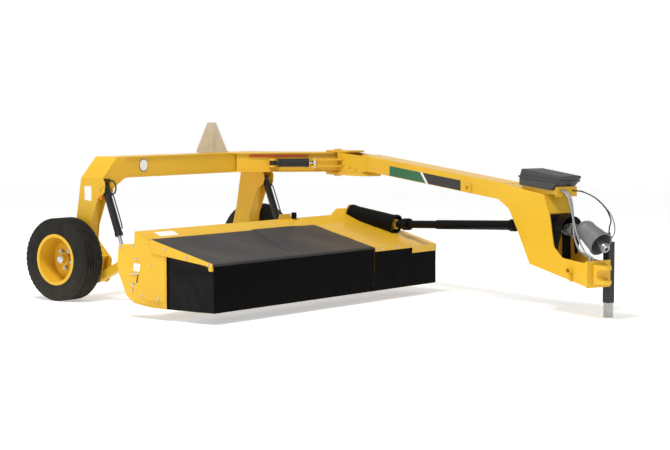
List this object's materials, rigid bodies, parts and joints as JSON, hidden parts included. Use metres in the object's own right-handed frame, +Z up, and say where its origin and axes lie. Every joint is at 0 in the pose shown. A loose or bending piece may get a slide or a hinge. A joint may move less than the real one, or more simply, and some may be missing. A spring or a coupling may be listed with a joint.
{
  "type": "trailed disc mower",
  "caption": "Trailed disc mower with a portal frame on two wheels, a swinging gooseneck tongue and a curtained cutting deck on lift arms.",
  "frame": {"origin": "on the ground under the middle of the machine's bounding box", "axes": "+Z up, -Y forward to the hitch, +X to the machine's left, along the cutterbar"},
  "size_m": [3.693, 5.2482, 1.643],
  "materials": {
    "yellow_paint": "gloss paint",
    "tyre": "rubber",
    "black_cloth": "rubberised cloth",
    "black_plastic": "moulded",
    "chrome_rod": "polished",
    "bare_steel": "bare",
    "black_paint": "satin paint",
    "hose_rubber": "braided hose",
    "red_hose": "hose",
    "sign_plate": "back of a reflective plate"
  },
  "bodies": {
    "frame": {"beam": "yellow_paint", "front_arm": "yellow_paint", "right_leg": "yellow_paint", "left_leg": "yellow_paint", "slow_sign": "sign_plate", "arm_hose": "red_hose"},
    "right_wheel": {"right_tyre": "tyre", "right_rim": "yellow_paint"},
    "left_wheel": {"left_tyre": "tyre", "left_rim": "yellow_paint"},
    "lift": {"lift_arms": "yellow_paint"},
    "top_link": {"top_link": "yellow_paint"},
    "right_lift_barrel": {"right_lift_barrel": "black_paint"},
    "right_lift_rod": {"right_lift_rod": "chrome_rod"},
    "left_lift_barrel": {"left_lift_barrel": "black_paint"},
    "left_lift_rod": {"left_lift_rod": "chrome_rod"},
    "swing_barrel": {"swing_barrel": "black_paint"},
    "swing_rod": {"swing_rod": "chrome_rod"},
    "tongue": {"tongue_head": "yellow_paint", "tongue_beam": "yellow_paint", "gooseneck": "yellow_paint", "nose_guard": "black_plastic", "toolbox": "black_plastic", "hose_bracket": "yellow_paint", "hitch_clevis": "yellow_paint", "jack_sleeve": "black_paint", "bell_guard": "black_plastic", "hose_1": "hose_rubber", "hose_2": "hose_rubber", "light_cable": "hose_rubber", "cable_plug": "black_plastic"},
    "toolbox_lid": {"toolbox_lid": "black_plastic"},
    "jack_leg": {"jack_leg": "bare_steel"},
    "pto_shaft": {"pto_shaft": "bare_steel"},
    "pto_yoke": {"pto_yoke": "bare_steel"},
    "drive_cross": {"drive_cross": "bare_steel"},
    "drive_tube": {"drive_tube": "black_plastic"},
    "drive_inner": {"drive_inner": "black_plastic"},
    "deck": {"deck_roof": "yellow_paint", "deck_frame": "yellow_paint", "end_plates": "yellow_paint", "deck_curtain": "black_cloth", "gearbox": "yellow_paint", "drive_hood": "black_plastic", "cutterbar": "bare_steel"},
    "guard": {"guard_frame": "yellow_paint", "guard_tarp": "black_cloth", "guard_curtain": "black_cloth"},
    "disc_1": {"disc_1": "bare_steel"},
    "disc_2": {"disc_2": "bare_steel"},
    "disc_3": {"disc_3": "bare_steel"},
    "disc_4": {"disc_4": "bare_steel"},
    "disc_5": {"disc_5": "bare_steel"},
    "disc_6": {"disc_6": "bare_steel"},
    "disc_7": {"disc_7": "bare_steel"}
  },
  "joints": [
    {"name": "right_wheel_spin", "type": "hinge", "parent": "frame", "child": "right_wheel", "pos_m": [-1.1905, 2.23661, 0.3875], "axis": [1, 0, 0], "continuous": true},
    {"name": "left_wheel_spin", "type": "hinge", "parent": "frame", "child": "left_wheel", "pos_m": [1.6435, 2.23661, 0.3875], "axis": [1, 0, 0], "continuous": true},
    {"name": "tongue_swing", "type": "hinge", "parent": "frame", "child": "tongue", "pos_m": [1.7115, 1.21861, 1.24], "axis": [0, 0, 1], "range_deg": [0, 36]},
    {"name": "swing_barrel_turn", "type": "hinge", "parent": "frame", "child": "swing_barrel", "pos_m": [1.0665, 1.55661, 1.237], "axis": [0, 0, 1], "range_deg": [-12.49, 0.25]},
    {"name": "swing_rod_slide", "type": "slide", "parent": "swing_barrel", "child": "swing_rod", "axis": [0.7059, -0.7083, 0], "range_m": [-0.00376, 0.18676]},
    {"name": "lift_raise", "type": "hinge", "parent": "frame", "child": "lift", "pos_m": [-1.8385, 1.97861, 0.215], "axis": [-1, 0, 0], "range_deg": [0, 16]},
    {"name": "deck_level", "type": "hinge", "parent": "lift", "child": "deck", "pos_m": [-1.8385, 1.07861, 0.4], "axis": [-1, 0, 0], "range_deg": [-16.32, 0.32]},
    {"name": "top_link_turn", "type": "hinge", "parent": "frame", "child": "top_link", "pos_m": [-1.8385, 1.97861, 0.405], "axis": [-1, 0, 0], "range_deg": [-0.32, 16.32]},
    {"name": "right_lift_turn", "type": "hinge", "parent": "frame", "child": "right_lift_barrel", "pos_m": [-0.9585, 1.91861, 1.062], "axis": [-1, 0, 0], "range_deg": [-3.97, 0.08]},
    {"name": "right_lift_slide", "type": "slide", "parent": "right_lift_barrel", "child": "right_lift_rod", "axis": [0, -0.36, -0.933], "range_m": [-0.09787, 0.00202]},
    {"name": "left_lift_turn", "type": "hinge", "parent": "frame", "child": "left_lift_barrel", "pos_m": [1.3915, 1.91861, 1.062], "axis": [-1, 0, 0], "range_deg": [-3.97, 0.08]},
    {"name": "left_lift_slide", "type": "slide", "parent": "left_lift_barrel", "child": "left_lift_rod", "axis": [0, -0.36, -0.933], "range_m": [-0.09787, 0.00202]},
    {"name": "drive_yaw", "type": "hinge", "parent": "tongue", "child": "drive_cross", "pos_m": [0.81535, -1.53946, 0.75], "axis": [0, 0, 1], "range_deg": [-0.36, 18.46]},
    {"name": "drive_pitch", "type": "hinge", "parent": "drive_cross", "child": "drive_tube", "pos_m": [0.81535, -1.53946, 0.75], "axis": [0.9658, -0.2594, 0], "range_deg": [-0.15, 7.76]},
    {"name": "drive_slide", "type": "slide", "parent": "drive_tube", "child": "drive_inner", "axis": [0.2591, 0.9646, -0.0483], "range_m": [-0.00707, 0.35553]},
    {"name": "guard_open", "type": "hinge", "parent": "deck", "child": "guard", "pos_m": [-1.8385, 0.55261, 0.671], "axis": [-1, 0, 0], "range_deg": [0, 50]},
    {"name": "toolbox_open", "type": "hinge", "parent": "tongue", "child": "toolbox_lid", "pos_m": [0.79125, -1.61364, 1.197], "axis": [-0.9511, 0.309, 0], "range_deg": [0, 100]},
    {"name": "jack_raise", "type": "slide", "parent": "tongue", "child": "jack_leg", "axis": [0, 0, 1], "range_m": [0, 0.24]},
    {"name": "pto_spin", "type": "hinge", "parent": "tongue", "child": "pto_shaft", "pos_m": [0.55269, -2.34785, 0.75], "axis": [-0.309, -0.9511, 0], "continuous": true},
    {"name": "pto_yoke_spin", "type": "hinge", "parent": "tongue", "child": "pto_yoke", "pos_m": [0.55269, -2.34785, 0.75], "axis": [-0.2676, -0.8236, -0.5], "continuous": true},
    {"name": "disc_1_spin", "type": "hinge", "parent": "deck", "child": "disc_1", "pos_m": [-1.5175, 0.27861, 0.176], "axis": [0, 0, 1], "continuous": true},
    {"name": "disc_2_spin", "type": "hinge", "parent": "deck", "child": "disc_2", "pos_m": [-1.0745, 0.27861, 0.176], "axis": [0, 0, 1], "continuous": true},
    {"name": "disc_3_spin", "type": "hinge", "parent": "deck", "child": "disc_3", "pos_m": [-0.6315, 0.27861, 0.176], "axis": [0, 0, 1], "continuous": true},
    {"name": "disc_4_spin", "type": "hinge", "parent": "deck", "child": "disc_4", "pos_m": [-0.1885, 0.27861, 0.176], "axis": [0, 0, 1], "continuous": true},
    {"name": "disc_5_spin", "type": "hinge", "parent": "deck", "child": "disc_5", "pos_m": [0.2545, 0.27861, 0.176], "axis": [0, 0, 1], "continuous": true},
    {"name": "disc_6_spin", "type": "hinge", "parent": "deck", "child": "disc_6", "pos_m": [0.6975, 0.27861, 0.176], "axis": [0, 0, 1], "continuous": true},
    {"name": "disc_7_spin", "type": "hinge", "parent": "deck", "child": "disc_7", "pos_m": [1.1405, 0.27861, 0.176], "axis": [0, 0, 1], "continuous": true}
  ],
  "couplings": [
    {"joint": "swing_barrel_turn", "follows": "tongue_swing", "ratio": -0.34026},
    {"joint": "swing_rod_slide", "follows": "tongue_swing", "m_per_rad": 0.29126},
    {"joint": "deck_level", "follows": "lift_raise", "ratio": -1},
    {"joint": "top_link_turn", "follows": "lift_raise", "ratio": 1},
    {"joint": "right_lift_turn", "follows": "lift_raise", "ratio": -0.24356},
    {"joint": "right_lift_slide", "follows": "lift_raise", "m_per_rad": -0.34326},
    {"joint": "left_lift_turn", "follows": "lift_raise", "ratio": -0.24356},
    {"joint": "left_lift_slide", "follows": "lift_raise", "m_per_rad": -0.34326},
    {"joint": "drive_yaw", "follows": "tongue_swing", "ratio": 0.50267},
    {"joint": "drive_pitch", "follows": "lift_raise", "ratio": 0.47547},
    {"joint": "drive_slide", "follows": "tongue_swing", "m_per_rad": 0.5546},
    {"joint": "pto_yoke_spin", "follows": "pto_spin", "ratio": 1},
    {"joint": "disc_2_spin", "follows": "disc_1_spin", "ratio": -1},
    {"joint": "disc_3_spin", "follows": "disc_1_spin", "ratio": 1},
    {"joint": "disc_4_spin", "follows": "disc_1_spin", "ratio": -1},
    {"joint": "disc_5_spin", "follows": "disc_1_spin", "ratio": 1},
    {"joint": "disc_6_spin", "follows": "disc_1_spin", "ratio": -1},
    {"joint": "disc_7_spin", "follows": "disc_1_spin", "ratio": 1}
  ]
}
